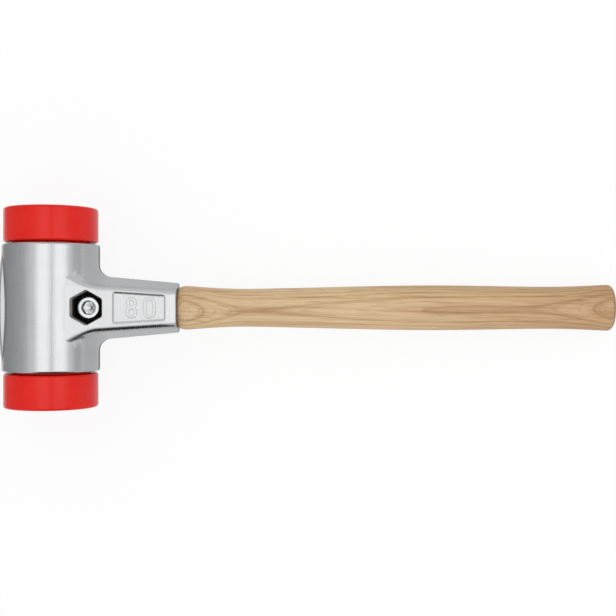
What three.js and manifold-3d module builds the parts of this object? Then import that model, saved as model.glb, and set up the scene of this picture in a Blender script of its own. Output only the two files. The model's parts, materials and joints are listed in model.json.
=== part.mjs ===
// Split-head soft-face hammer, in millimetres, +Z up, lying on its side with the clamp screw on top.
//
// The pieces are modelled in the hammer's own frame: origin in the middle of the head,
// +X along the handle to its butt, +Y along the head to the upper face, +Z out of the front half.
// The finished group is then laid down, so that the head and the butt both touch Z = 0.

import * as THREE from 'three';
import { mergeVertices } from 'three/addons/utils/BufferGeometryUtils.js';
import Module from 'manifold-3d';

const wasm = await Module();
wasm.setup();

// Face inserts: a wide striking disc on a stub that the housing grips
const faceDiameter = 80;
const faceHeight = 29.5;
const faceEdgeRadius = 2.2;
const stubDiameter = 67;
const stubDepth = 26;

// Housing: a barrel across the handle, split along the plane of the hammer
const housingDiameter = 83;
const housingLength = 109.2;
const housingRimRadius = 2.2;
const housingWall = 8;
const webThickness = 8;
const seamGap = 1.6;
const faceGap = 1.6;

// Spine: the low swelling along the back of the barrel, opposite the neck
const spineLength = 90;
const spineRise = 3.3;
const spineSpread = 42 * Math.PI / 180;
const spineSunk = 0.3;

// Neck: widths on the seam plane and across the flat plates, where it leaves the barrel and at its mouth
const neckLength = 68.9;
const neckRootWidth = 56;
const neckMouthWidth = 43.6;
const plateRootWidth = 37.6;
const plateMouthWidth = 28.8;
const neckRootDepth = 65;
const neckMouthDepth = 42;
const seamFilletRadius = 10;
const crownFilletRadius = 13.5;

// Sunk field in each flat plate, for a size number
const plateLand = 8.4;
const plateBorder = 4.1;
const plateSink = 1.5;
const plateCornerRadius = 2.5;

// Clamp screw with its washer and nut, and the pockets that hold them
const screwOffset = 37.1;
const screwDiameter = 12;
const screwLength = 35;
const screwHeadDiameter = 18;
const screwHeadHeight = 12;
const screwChamfer = 1;
const screwSocketAcross = 10;
const screwSocketDepth = 6;
const washerDiameter = 24;
const washerThickness = 2.5;
const nutAcross = 18;
const nutHeight = 10.8;
const pocketAcross = 25.6;
const pocketCornerRadius = 2.5;
const clampFloor = 8.8;
const bossWall = 8;

// Handle: its length from the neck's mouth to the butt, and its widths across the head's plane
const handleLength = 377.7;
const handleThinner = 6.5;
const shoulderRun = 7.4;
const shoulderWidth = 37.8;
const throatStartWidth = 33.5;
const throatEndWidth = 33.2;
const bellyWidth = 38.7;
const gripWidth = 36.4;
const buttWidth = 39.8;
const buttRadius = 7;
const tenonLength = 53.5;
const tenonEndWidth = 37;
const tenonMouthWidth = 32.4;
const mouthGap = 0.6;

// Where those widths lie, as shares of the handle's length
const throatStart = 0.106;
const throatEnd = 0.196;
const bellyPlace = 0.548;
const gripPlace = 0.842;

// Clearances between pieces
const fitClearance = 0.3;
const seatClearance = 0.3;
const threadClearance = 0.3;
const boreClearance = 0.6;

// Facets
const barrelSegments = 64;
const faceSegments = 48;
const screwSegments = 32;
const handleSides = 20;
const stepsPerRun = 5;
const arcSteps = 4;
const filletSteps = 6;
const spineSteps = 12;
const neckLevels = 16;
const neckLevelAngle = 75 * Math.PI / 180;

// Sizes that follow from the driving dimensions
const housingRadius = housingDiameter / 2;
const housingEnd = housingLength / 2;
const neckEnd = housingRadius + neckLength;
const stubRadius = stubDiameter / 2;
const stubEnd = housingEnd - stubDepth;
const socketFloor = stubEnd - seatClearance;
const screwRadius = screwDiameter / 2;
const washerSeat = clampFloor + seatClearance;
const screwSeat = washerSeat + washerThickness + seatClearance;
const nutSeat = clampFloor + seatClearance;
const mouth = neckEnd + mouthGap;
const tenonEnd = mouth - tenonLength;
const beyond = 2 * (neckEnd + housingLength);

// Finishes
const satinAluminium = { color: 0xb4b6b8, roughness: 0.42, metalness: 0.9 };
const redPlastic = { color: 0xd8322a, roughness: 0.35, metalness: 0 };
const ashWood = { color: 0xcba77c, roughness: 0.6, metalness: 0 };
const zincSteel = { color: 0xc9ccd0, roughness: 0.28, metalness: 1 };

// Turns a closed geometry into a solid that can be joined and cut
function toSolid(geometry) {
  const bare = geometry.clone();
  bare.deleteAttribute('normal');
  bare.deleteAttribute('uv');
  const merged = mergeVertices(bare, 1e-4);
  const index = merged.index.array;
  const corners = [];
  for (let i = 0; i < index.length; i += 3) {
    const [a, b, c] = index.slice(i, i + 3);
    if (a !== b && b !== c && c !== a) corners.push(a, b, c);
  }
  return new wasm.Manifold(new wasm.Mesh({
    numProp: 3,
    vertProperties: Float32Array.from(merged.attributes.position.array),
    triVerts: Uint32Array.from(corners),
  }));
}

function toGeometry(solid) {
  const mesh = solid.getMesh();
  const geometry = new THREE.BufferGeometry();
  geometry.setAttribute('position', new THREE.BufferAttribute(mesh.vertProperties, 3));
  geometry.setIndex(new THREE.BufferAttribute(mesh.triVerts, 1));
  geometry.computeVertexNormals();
  return geometry;
}

function planePoints(pairs) {
  return pairs.map(([x, y]) => new THREE.Vector2(x, y));
}

// A body turned about Y from [radius, height] points, listed upwards along its outside
function turned(points, segments) {
  return new THREE.LatheGeometry(planePoints(points), segments);
}

function disc(radius, bottom, top, segments) {
  return turned([[0, bottom], [radius, bottom], [radius, top], [0, top]], segments);
}

// Stands a body that was turned about Y up along Z
function alongZ(geometry) {
  return geometry.rotateX(Math.PI / 2);
}

// Points of an arc about a centre, from one angle to another
function arc(centreX, centreY, radius, from, to, steps) {
  const points = [];
  for (let i = 0; i <= steps; i += 1) {
    const angle = from + (to - from) * i / steps;
    points.push([centreX + radius * Math.cos(angle), centreY + radius * Math.sin(angle)]);
  }
  return points;
}

// A convex outline with its corners rounded
function roundedOutline(corners, radius) {
  const outline = new THREE.Shape();
  corners.forEach((corner, i) => {
    const before = corners.at(i - 1).clone().sub(corner);
    const after = corners[(i + 1) % corners.length].clone().sub(corner);
    const setBack = radius / Math.tan(Math.acos(before.dot(after) / before.length() / after.length()) / 2);
    const start = before.setLength(setBack).add(corner);
    const end = after.setLength(setBack).add(corner);
    if (i === 0) outline.moveTo(start.x, start.y);
    else outline.lineTo(start.x, start.y);
    outline.quadraticCurveTo(corner.x, corner.y, end.x, end.y);
  });
  outline.closePath();
  return outline;
}

// Corners of a hexagon with flats facing along X
function hexagon(across) {
  const corner = across / 2 / Math.cos(Math.PI / 6);
  return [1, 3, 5, 7, 9, 11].map((i) => {
    const angle = i * Math.PI / 6;
    return new THREE.Vector2(Math.cos(angle), Math.sin(angle)).multiplyScalar(corner);
  });
}

function prism(shape, bottom, top) {
  const sweep = { depth: top - bottom, bevelEnabled: false, curveSegments: arcSteps };
  return new THREE.ExtrudeGeometry(shape, sweep).translate(0, 0, bottom);
}

// A closed skin over flat outlines of equally many points, each placed in space by its station
function loft(outlines, place) {
  const count = outlines[0].length;
  const positions = outlines.flatMap((outline, station) => outline.flatMap((point) => place(point, station)));
  const index = [];
  for (let base = 0; base + count < positions.length / 3; base += count) {
    for (let i = 0; i < count; i += 1) {
      const [a, b] = [base + i, base + (i + 1) % count];
      index.push(a, b, b + count, a, b + count, a + count);
    }
  }
  const last = positions.length / 3 - count;
  for (const [a, b, c] of THREE.ShapeUtils.triangulateShape(outlines[0], [])) index.push(a, c, b);
  for (const face of THREE.ShapeUtils.triangulateShape(outlines.at(-1), [])) {
    index.push(...face.map((corner) => last + corner));
  }
  const geometry = new THREE.BufferGeometry();
  geometry.setAttribute('position', new THREE.Float32BufferAttribute(positions, 3));
  geometry.setIndex(index);
  return geometry;
}

// Face insert, disc upwards
function faceInsert() {
  const bottom = housingEnd + faceGap;
  const top = bottom + faceHeight;
  const edge = faceDiameter / 2 - faceEdgeRadius;
  return turned([
    [0, stubEnd],
    [stubRadius, stubEnd],
    [stubRadius, bottom],
    ...arc(edge, bottom + faceEdgeRadius, faceEdgeRadius, -Math.PI / 2, 0, arcSteps),
    ...arc(edge, top - faceEdgeRadius, faceEdgeRadius, 0, Math.PI / 2, arcSteps),
    [0, top],
  ], faceSegments);
}

function barrel() {
  const edge = housingRadius - housingRimRadius;
  const corner = housingEnd - housingRimRadius;
  return toSolid(turned([
    [0, -housingEnd],
    ...arc(edge, -corner, housingRimRadius, -Math.PI / 2, 0, arcSteps),
    ...arc(edge, corner, housingRimRadius, 0, Math.PI / 2, arcSteps),
    [0, housingEnd],
  ], barrelSegments));
}

// A swelling that fades out along and across the barrel's back, its rim sunk just under the surface
function spine() {
  const places = [];
  const outlines = [];
  for (let i = 0; i <= spineSteps; i += 1) {
    const along = 2 * i / spineSteps - 1;
    const outline = [];
    for (let j = 0; j <= spineSteps; j += 1) {
      const across = 2 * j / spineSteps - 1;
      const rise = (spineRise + spineSunk) * (1 - along ** 2) * (1 - across ** 2) - spineSunk;
      const angle = spineSpread * across;
      outline.push([(housingRadius + rise) * Math.sin(angle), -(housingRadius + rise) * Math.cos(angle)]);
    }
    places.push(along * spineLength / 2);
    outlines.push(planePoints(outline));
  }
  return toSolid(loft(outlines, (point, station) => [point.y, places[station], point.x]));
}

// A size of the neck at a distance from the head's axis, between its root and its mouth
function alongNeck(rootSize, mouthSize, at) {
  return rootSize + (mouthSize - rootSize) * (at - housingRadius) / neckLength;
}

function plateHalfWidth(at) {
  return alongNeck(plateRootWidth, plateMouthWidth, at) / 2;
}

function plateLevel(at) {
  return alongNeck(neckRootDepth, neckMouthDepth, at) / 2;
}

// The neck's sides lean in from the seam plane to the edges of the plates
function neckHalfWidth(at, level) {
  const middle = alongNeck(neckRootWidth, neckMouthWidth, at) / 2;
  return middle - (middle - plateHalfWidth(at)) * Math.abs(level) / plateLevel(at);
}

// One level of the neck, with fillets that run round the barrel and widen from its seam to its crown
function neckOutline(level) {
  const growth = (crownFilletRadius - seamFilletRadius) * Math.abs(level) / housingRadius;
  const bend = seamFilletRadius + growth;
  const fillet = arc(housingRadius + bend, bend, bend, Math.PI, 1.5 * Math.PI, filletSteps);
  const upper = fillet.map(([radius, rise]) => {
    const at = Math.sqrt(radius ** 2 - level ** 2);
    return [at, neckHalfWidth(at, level) + rise];
  });
  upper.unshift([upper[0][0] - housingWall / 2, upper[0][1]]);
  upper.push([neckEnd, neckHalfWidth(neckEnd, level)]);
  const lower = upper.map(([x, y]) => [x, -y]);
  return planePoints([...lower, ...upper.reverse()]);
}

// The space between the two plates, with each plate lowered by a depth
function betweenPlates(lowered) {
  const far = neckEnd + plateLand;
  const near = plateLevel(0) - lowered;
  const end = plateLevel(far) - lowered;
  const side = new THREE.Shape(planePoints([[0, -near], [far, -end], [far, end], [0, near]]));
  return toSolid(alongZ(prism(side, -housingLength, housingLength)));
}

function neck() {
  const levels = [];
  for (let i = 0; i <= neckLevels; i += 1) {
    levels.push(housingRadius * Math.sin(neckLevelAngle * (2 * i / neckLevels - 1)));
  }
  const drafted = loft(levels.map(neckOutline), (point, station) => [point.x, point.y, levels[station]]);
  return toSolid(drafted).intersect(betweenPlates(0));
}

// The sunk fields of both plates, as the solid to cut away
function plateFields() {
  const start = screwOffset + pocketAcross / 2 + plateLand;
  const end = neckEnd - plateLand;
  const [startHeight, endHeight] = [start, end].map((at) => plateHalfWidth(at) - plateBorder);
  const corners = [[start, -startHeight], [end, -endHeight], [end, endHeight], [start, startHeight]];
  const field = roundedOutline(planePoints(corners), plateCornerRadius);
  return toSolid(prism(field, -beyond, beyond)).subtract(betweenPlates(plateSink));
}

// The hollow between the two webs, behind the boss that the screw passes through
function core() {
  const height = socketFloor - webThickness;
  const hollow = toSolid(disc(housingRadius - housingWall, -height, height, faceSegments));
  const bossFace = screwOffset - pocketAcross / 2 - bossWall;
  const boss = new THREE.BoxGeometry(beyond, beyond, beyond).translate(bossFace + beyond / 2, 0, 0);
  return hollow.subtract(toSolid(boss));
}

// An oval section of the handle, as wide as given and grown by a clearance
function oval(width, grown) {
  const outline = [];
  for (let i = 0; i < handleSides; i += 1) {
    const angle = 2 * Math.PI * i / handleSides;
    const across = (width / 2 + grown) * Math.cos(angle);
    const through = ((width - handleThinner) / 2 + grown) * Math.sin(angle);
    outline.push(new THREE.Vector2(across, through));
  }
  return outline;
}

// A skin over oval sections, each given as [distance from the head's axis, width]
function ovalLoft(sections, grown) {
  const outlines = sections.map(([, width]) => oval(width, grown));
  return loft(outlines, (point, station) => [sections[station][0], point.x, point.y]);
}

// The tenon is widest at its end, so the clamped neck cannot let go of it
const tenonSections = [[tenonEnd, tenonEndWidth], [mouth, tenonMouthWidth]];

function handleSections() {
  const shoulder = mouth + shoulderRun;
  const butt = mouth + handleLength - buttRadius;
  const stations = planePoints([
    [shoulder, shoulderWidth],
    [mouth + handleLength * throatStart, throatStartWidth],
    [mouth + handleLength * throatEnd, throatEndWidth],
    [mouth + handleLength * bellyPlace, bellyWidth],
    [mouth + handleLength * gripPlace, gripWidth],
    [butt, buttWidth],
  ]);
  const shaft = new THREE.SplineCurve(stations).getPoints((stations.length - 1) * stepsPerRun);
  const step = shoulderWidth - tenonMouthWidth;
  const sections = [...tenonSections];
  for (let i = 1; i < arcSteps; i += 1) {
    const turn = Math.PI / 2 * i / arcSteps;
    sections.push([shoulder - shoulderRun * Math.cos(turn), tenonMouthWidth + step * Math.sin(turn)]);
  }
  sections.push(...shaft.map((point) => [point.x, point.y]));
  for (let i = 1; i <= arcSteps; i += 1) {
    const turn = Math.PI / 2 * i / arcSteps;
    sections.push([butt + buttRadius * Math.sin(turn), buttWidth - 2 * buttRadius * (1 - Math.cos(turn))]);
  }
  return sections;
}

function handleSocket() {
  const [end, opening] = tenonSections;
  const past = [opening[0] + plateLand, opening[1]];
  return toSolid(ovalLoft([[end[0] - seatClearance, end[1]], opening, past], fitClearance));
}

// Both halves of the housing in one, before the pockets for the screw and the nut
function housing() {
  const socket = disc(stubRadius + fitClearance, socketFloor, housingLength, faceSegments);
  const bore = alongZ(disc(screwRadius + boreClearance, -beyond, beyond, screwSegments));
  return barrel().add(neck()).add(spine())
    .subtract(toSolid(socket))
    .subtract(toSolid(socket.clone().rotateZ(Math.PI)))
    .subtract(core())
    .subtract(handleSocket())
    .subtract(plateFields())
    .subtract(toSolid(bore.translate(screwOffset, 0, 0)));
}

// Cuts one half out of the housing, with a hexagonal pocket from its outside down to the clamp's floor
function housingHalf(whole, pocket, side) {
  const half = new THREE.BoxGeometry(beyond, beyond, beyond).translate(0, 0, side * (beyond + seamGap) / 2);
  const reach = prism(pocket, clampFloor, beyond).translate(screwOffset, 0, 0);
  if (side < 0) reach.rotateX(Math.PI);
  return toGeometry(whole.intersect(toSolid(half)).subtract(toSolid(reach)));
}

function clampScrew() {
  const headRadius = screwHeadDiameter / 2;
  const body = turned([
    [0, -screwLength],
    [screwRadius - screwChamfer, -screwLength],
    [screwRadius, screwChamfer - screwLength],
    [screwRadius, 0],
    [headRadius, 0],
    [headRadius, screwHeadHeight - screwChamfer],
    [headRadius - screwChamfer, screwHeadHeight],
    [0, screwHeadHeight],
  ], screwSegments);
  const key = prism(new THREE.Shape(hexagon(screwSocketAcross)), screwHeadHeight - screwSocketDepth, beyond);
  return toGeometry(toSolid(alongZ(body)).subtract(toSolid(key.rotateZ(Math.PI / 6))));
}

function screwWasher() {
  const inner = screwRadius + boreClearance;
  const outer = washerDiameter / 2;
  const ring = [[inner, 0], [outer, 0], [outer, washerThickness], [inner, washerThickness], [inner, 0]];
  return alongZ(turned(ring, screwSegments));
}

function clampNut() {
  const block = prism(new THREE.Shape(hexagon(nutAcross)), 0, nutHeight);
  const thread = alongZ(disc(screwRadius + threadClearance, -nutHeight, 2 * nutHeight, screwSegments));
  return toGeometry(toSolid(block).subtract(toSolid(thread)));
}

// The angle at which the barrel and the lowest part of the handle lie on one plane
function lieAngle(sections) {
  return Math.min(...sections.filter(([at]) => at > mouth).map(([at, width]) => {
    const below = (width - handleThinner) / 2;
    return Math.asin(housingRadius / Math.hypot(at, below)) - Math.atan2(below, at);
  }));
}

function piece(name, geometry, finish) {
  const mesh = new THREE.Mesh(geometry, new THREE.MeshStandardMaterial(finish));
  mesh.name = name;
  return mesh;
}

const sections = handleSections();
const whole = housing();
const screwPocket = roundedOutline(hexagon(pocketAcross), pocketCornerRadius);
const nutPocket = new THREE.Shape(hexagon(nutAcross + 2 * fitClearance));

const frontHalf = piece('front_housing_half', housingHalf(whole, screwPocket, 1), satinAluminium);
const rearHalf = piece('rear_housing_half', housingHalf(whole, nutPocket, -1), satinAluminium);
const upperFace = piece('upper_face', faceInsert(), redPlastic);
const lowerFace = piece('lower_face', faceInsert(), redPlastic);
const handle = piece('handle', ovalLoft(sections, 0), ashWood);
const screw = piece('clamp_screw', clampScrew(), zincSteel);
const washer = piece('screw_washer', screwWasher(), zincSteel);
const nut = piece('clamp_nut', clampNut(), zincSteel);

lowerFace.rotation.z = Math.PI;
screw.position.set(screwOffset, 0, screwSeat);
washer.position.set(screwOffset, 0, washerSeat);
nut.position.set(screwOffset, 0, -nutSeat - nutHeight);

const hammer = new THREE.Group();
hammer.add(frontHalf, rearHalf, upperFace, lowerFace, handle, screw, washer, nut);
hammer.rotation.y = lieAngle(sections);

const part = new THREE.Group();
part.add(hammer);
part.updateMatrixWorld(true);
const extent = new THREE.Box3().setFromObject(hammer, true);
const centre = extent.getCenter(new THREE.Vector3());
hammer.position.set(-centre.x, -centre.y, -extent.min.z);

export default part;
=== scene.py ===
# %% [markdown]
# # A split-head soft-face hammer
# The measured model of this hammer is already packed: every solid has its place and its body. This
# lesson gives each of them its fine shape and its finish, lights them, and sets up the camera.

# %% Load the measured model
import json
import math

import bpy
import numpy as np
import openvdb
from mathutils import Matrix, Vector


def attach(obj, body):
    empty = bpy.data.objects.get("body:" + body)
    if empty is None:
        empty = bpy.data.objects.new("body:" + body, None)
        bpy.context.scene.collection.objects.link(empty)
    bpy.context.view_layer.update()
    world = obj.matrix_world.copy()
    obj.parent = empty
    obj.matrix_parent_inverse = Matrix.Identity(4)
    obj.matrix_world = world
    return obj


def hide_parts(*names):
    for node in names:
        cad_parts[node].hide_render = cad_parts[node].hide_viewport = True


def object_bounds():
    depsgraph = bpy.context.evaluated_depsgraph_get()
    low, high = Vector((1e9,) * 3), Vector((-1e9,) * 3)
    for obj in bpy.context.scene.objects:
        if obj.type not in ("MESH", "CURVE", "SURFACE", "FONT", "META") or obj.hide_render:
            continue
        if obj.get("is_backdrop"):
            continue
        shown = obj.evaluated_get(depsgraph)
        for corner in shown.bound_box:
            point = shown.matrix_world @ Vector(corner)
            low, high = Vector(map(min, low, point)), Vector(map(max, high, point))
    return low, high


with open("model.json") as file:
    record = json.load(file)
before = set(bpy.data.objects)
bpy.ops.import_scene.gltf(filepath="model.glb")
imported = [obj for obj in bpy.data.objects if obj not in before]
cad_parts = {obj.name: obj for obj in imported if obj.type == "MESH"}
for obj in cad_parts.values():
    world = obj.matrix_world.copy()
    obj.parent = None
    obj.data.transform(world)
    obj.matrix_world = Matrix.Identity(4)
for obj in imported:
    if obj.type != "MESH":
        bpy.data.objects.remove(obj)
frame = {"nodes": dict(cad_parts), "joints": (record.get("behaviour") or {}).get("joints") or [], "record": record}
cad_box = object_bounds()
scene = bpy.context.scene
scene.view_settings.view_transform = "Standard"
print("solids:", ", ".join(sorted(frame["nodes"])))

# %% [markdown]
# ## The hammer's own frame
# The hammer lies on its side, and its head is thicker than its handle, so it lies a little askew.
# Shapes are easier to think of in a straight frame: origin in the middle of the head, X along the
# handle, Y along the head, Z out of the front half, all in millimetres. The record knows the tilt,
# as the direction in which the clamp opens, and the middle of the head, as the height of a face.
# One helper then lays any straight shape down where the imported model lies.

# %% Lay shapes down
clamp = next(joint for joint in frame["joints"] if joint["name"] == "clamp_open")
face_spot = frame["record"]["mounts"][0]["pos_m"]
lie = math.atan2(clamp["axis"][0], clamp["axis"][2])
laid = Matrix.Translation((face_spot[0], 0, face_spot[2])) @ Matrix.Rotation(lie, 4, "Y")
laid_turn = np.array(laid.to_3x3())
laid_shift = np.array(laid.translation)


def lay(points):
    """Millimetres in the hammer's frame to metres in the model's frame."""
    return np.asarray(points, float) / 1000 @ laid_turn.T + laid_shift


print(f"the hammer lies tilted by {math.degrees(lie):.2f} degrees")

# %% [markdown]
# ## The camera
# The photograph looks straight down on the hammer's flat side from about 0.9 m, so a little of the
# head's right flank shows past its seam. A camera hangs there, square to the hammer's own plane. The
# focal length is given in pixels of a 616 pixel frame, which a lens on a 36 mm sensor turns into mm.

# %% Hang the camera
FRAME_PIXELS = 616
FOCAL_PIXELS = 1004.6
CAMERA_SPOT = (222.3, -0.2, 870)

lens = bpy.data.cameras.new("camera")
lens.sensor_width = 36
lens.lens = lens.sensor_width * FOCAL_PIXELS / FRAME_PIXELS
camera = bpy.data.objects.new("camera", lens)
camera.location = lay([CAMERA_SPOT])[0]
camera.rotation_euler = (0, lie, 0)
scene.collection.objects.link(camera)
scene.camera = camera
print(f"camera: {lens.lens:.1f} mm lens, {camera.location.z:.3f} m up")

# %% [markdown]
# ## Node helpers
# Every finish is a small network of shader nodes. Four helpers keep that short: one starts a material
# with its shader and the settings that are the same all over, one adds a node and wires it up, one mixes
# two colours, and one picks a colour from a ramp.

# %% Start a finish
def new_finish(name, **settings):
    """A material with one principled shader; settings are its sockets, with _ for a space."""
    material = bpy.data.materials.new(name)
    material.use_nodes = True
    shader = material.node_tree.nodes["Principled BSDF"]
    for socket, value in settings.items():
        shader.inputs[socket.replace("_", " ")].default_value = value
    return material, shader


def add(tree, kind, inputs=None, **settings):
    """A new node with settings of its own; an input is linked to a socket or set to a value."""
    node = tree.nodes.new("ShaderNode" + kind)
    for key, value in settings.items():
        setattr(node, key, value)
    for key, value in (inputs or {}).items():
        if isinstance(value, bpy.types.NodeSocket):
            tree.links.new(value, node.inputs[key])
        else:
            node.inputs[key].default_value = value
    return node


def mix(tree, share, first, second, how="MIX"):
    """A mix of two colours, each a socket or a colour."""
    node = add(tree, "Mix", {0: share, 6: first, 7: second}, data_type="RGBA", blend_type=how)
    return node.outputs[2]


def ramp(tree, source, stops):
    """A colour ramp from (place, colour or grey) stops."""
    node = add(tree, "ValToRGB", {"Fac": source})
    elements = node.color_ramp.elements
    while len(elements) < len(stops):
        elements.new(0.5)
    for element, (place, colour) in zip(elements, stops):
        element.position = place
        element.color = (*colour, 1) if isinstance(colour, tuple) else (colour, colour, colour, 1)
    return node.outputs["Color"]


print("helpers for finishes are ready")

# %% [markdown]
# ## Cast aluminium
# The two housing halves are castings with a satin skin: blasted first, then brushed along the head,
# so highlights on the barrel break up into fine lines that run from face to face. A stretched noise
# gives those lines, as a change of roughness and a very low bump; a fine even noise gives the
# blasted grain. Edges that hands and benches rub are a little smoother than the hollows. The plates
# are milled, which leaves them brighter but duller. Walls that no brush reaches keep the raw grey-brown
# skin of the mould. Deep down, along the seam and in the crease by the pad the colour is painted near
# black, as painted shade. Three values on each point of the mesh, filled in when the piece is cast, say
# how raw, how much painted shade and how milled it is there.

# %% Satin aluminium
MILLED_COLOUR = (0.545, 0.548, 0.553, 1)
RAW_COLOUR = (0.40, 0.355, 0.32, 1)
PAINTED_SHADE_COLOUR = (0.012, 0.010, 0.009, 1)
MILLED_DULLER, RAW_OR_SHADED_ROUGHNESS = 0.14, 0.9

aluminium, shader = new_finish("satin_cast_aluminium")
tree = aluminium.node_tree
place = add(tree, "TexCoord").outputs["Object"]
brushing = add(tree, "Mapping", {"Vector": place, "Scale": (1, 0.02, 1)}).outputs["Vector"]
brushed = add(tree, "TexNoise", {"Vector": brushing, "Scale": 900, "Detail": 3, "Roughness": 0.6})
blasted = add(tree, "TexNoise", {"Vector": place, "Scale": 1500, "Detail": 4, "Roughness": 0.65})
cloudy = add(tree, "TexNoise", {"Vector": place, "Scale": 45, "Detail": 5, "Roughness": 0.6})
worn = add(tree, "NewGeometry").outputs["Pointiness"]
grime, raw, milled = [add(tree, "Attribute", attribute_name=name).outputs["Fac"]
                      for name in ("grime", "raw_skin", "milled")]

tone = add(tree, "Mix", {"Factor": blasted.outputs["Fac"], "A": cloudy.outputs["Fac"],
                         "B": brushed.outputs["Fac"]})
shade = ramp(tree, tone.outputs["Result"], [(0.35, (0.455, 0.46, 0.47)), (0.65, (0.505, 0.51, 0.52))])
milled_colour = mix(tree, milled, shade, MILLED_COLOUR)
cast_colour = mix(tree, raw, milled_colour, RAW_COLOUR)
# Near black deep in the openings, along the seam and in the pad's crease: painted shade.
skin_colour = mix(tree, grime, cast_colour, PAINTED_SHADE_COLOUR)
tree.links.new(skin_colour, shader.inputs["Base Color"])
raw_or_painted_shade = add(tree, "Math", {0: raw, 1: grime}, operation="MAXIMUM").outputs["Value"]
metallic_share = add(tree, "MapRange", {"Value": raw_or_painted_shade, "To Min": 1.0, "To Max": 0.0})
tree.links.new(metallic_share.outputs["Result"], shader.inputs["Metallic"])
gloss = add(tree, "MapRange", {"Value": brushed.outputs["Fac"],
             "From Min": 0.3, "From Max": 0.7, "To Min": 0.2, "To Max": 0.31})
rubbed = add(tree, "MapRange", {"Value": worn,
              "From Min": 0.46, "From Max": 0.56, "To Min": 1.2, "To Max": 0.75})
roughness = add(tree, "Math", {0: gloss.outputs["Result"], 1: rubbed.outputs["Result"]},
                operation="MULTIPLY")
cut = add(tree, "Math", {0: milled, 1: MILLED_DULLER, 2: roughness.outputs["Value"]},
          operation="MULTIPLY_ADD")
dull = add(tree, "Mix", {"Factor": raw_or_painted_shade, "A": cut.outputs["Value"], "B": RAW_OR_SHADED_ROUGHNESS})
tree.links.new(dull.outputs["Result"], shader.inputs["Roughness"])
lines = add(tree, "Bump", {"Height": brushed.outputs["Fac"], "Strength": 0.06, "Distance": 0.0002})
grain = add(tree, "Bump", {"Height": blasted.outputs["Fac"], "Normal": lines.outputs["Normal"],
             "Strength": 0.06, "Distance": 0.0002})
tree.links.new(grain.outputs["Normal"], shader.inputs["Normal"])
print("finish:", aluminium.name)

# %% [markdown]
# ## Red plastic
# The striking faces are turned from a red plastic that is hard enough to shine a little. Turning
# leaves very fine rings round the axis of the head, and use leaves a faint uneven sheen. The rings
# come from a noise that changes along the head and hardly across it, the sheen from a soft even noise.

# %% Half-gloss red plastic
red, shader = new_finish("half_gloss_red_plastic", IOR=1.5, Specular_IOR_Level=0.28)
tree = red.node_tree
place = add(tree, "TexCoord").outputs["Object"]
mottle = add(tree, "TexNoise", {"Vector": place, "Scale": 60, "Detail": 4, "Roughness": 0.6})
fine = add(tree, "TexNoise", {"Vector": place, "Scale": 2200, "Detail": 3})
turning = add(tree, "Mapping", {"Vector": place, "Scale": (0.05, 1, 0.05)}).outputs["Vector"]
rings = add(tree, "TexNoise", {"Vector": turning, "Scale": 1400, "Detail": 2})
tint = ramp(tree, mottle.outputs["Fac"], [(0.3, (0.665, 0.005, 0.001)), (0.7, (0.715, 0.009, 0.002))])
tree.links.new(tint, shader.inputs["Base Color"])
sheen = add(tree, "MapRange", {"Value": mottle.outputs["Fac"],
             "From Min": 0.3, "From Max": 0.7, "To Min": 0.19, "To Max": 0.28})
tree.links.new(sheen.outputs["Result"], shader.inputs["Roughness"])
turned_bump = add(tree, "Bump", {"Height": rings.outputs["Fac"], "Strength": 0.08, "Distance": 0.0001})
skin_bump = add(tree, "Bump", {"Height": fine.outputs["Fac"], "Normal": turned_bump.outputs["Normal"],
                 "Strength": 0.06, "Distance": 0.0001})
tree.links.new(skin_bump.outputs["Normal"], shader.inputs["Normal"])
print("finish:", red.name)

# %% [markdown]
# ## Zinc-plated steel
# The clamp screw, its washer and its nut are bright zinc-plated steel. Zinc has a fine crystal sparkle
# and a slightly uneven gloss, so the roughness follows a pattern of small cells, and the tint and a very
# low bump follow a coarser haze. Deep in the pocket its colour is painted near black as painted shade,
# by the same value on the points as on the castings.

# %% Bright zinc
ZINC_SHADE_COLOUR, ZINC_SHADE_ROUGHNESS = (0.014, 0.012, 0.010, 1), 0.8

zinc, shader = new_finish("bright_zinc_plate")
tree = zinc.node_tree
grime = add(tree, "Attribute", attribute_name="grime").outputs["Fac"]
place = add(tree, "TexCoord").outputs["Object"]
spangle = add(tree, "TexVoronoi", {"Vector": place, "Scale": 1100})
haze = add(tree, "TexNoise", {"Vector": place, "Scale": 260, "Detail": 4})
tint = ramp(tree, haze.outputs["Fac"], [(0.35, (0.50, 0.51, 0.53)), (0.65, (0.57, 0.58, 0.59))])
# Near black deep in the pocket and in the key socket: painted shade.
shaded_zinc = mix(tree, grime, tint, ZINC_SHADE_COLOUR)
tree.links.new(shaded_zinc, shader.inputs["Base Color"])
metallic_share = add(tree, "MapRange", {"Value": grime, "To Min": 1.0, "To Max": 0.0})
tree.links.new(metallic_share.outputs["Result"], shader.inputs["Metallic"])
gloss = add(tree, "MapRange", {"Value": spangle.outputs["Distance"],
             "From Min": 0, "From Max": 0.8, "To Min": 0.16, "To Max": 0.3})
dull = add(tree, "Mix", {"Factor": grime, "A": gloss.outputs["Result"], "B": ZINC_SHADE_ROUGHNESS})
tree.links.new(dull.outputs["Result"], shader.inputs["Roughness"])
frost = add(tree, "Bump", {"Height": haze.outputs["Fac"], "Strength": 0.08, "Distance": 0.0002})
tree.links.new(frost.outputs["Normal"], shader.inputs["Normal"])
print("finish:", zinc.name)

# %% [markdown]
# ## Ash wood
# A handle is sawn along the grain, and its growth rings are long shallow shells round a pith that lies
# well below it. A solid texture shows this truly: the ring number of a point is its distance from the
# pith divided by the ring's thickness, and wherever the carved surface dips, the rings come out as the
# pointed arches that joiners call cathedrals. No tree is quite straight: this one was slightly bowed, and
# its grain runs out of the handle by about a degree. Each ring starts with a dark porous line and fades
# to pale dense wood, and fine fibres run along everything.

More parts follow.
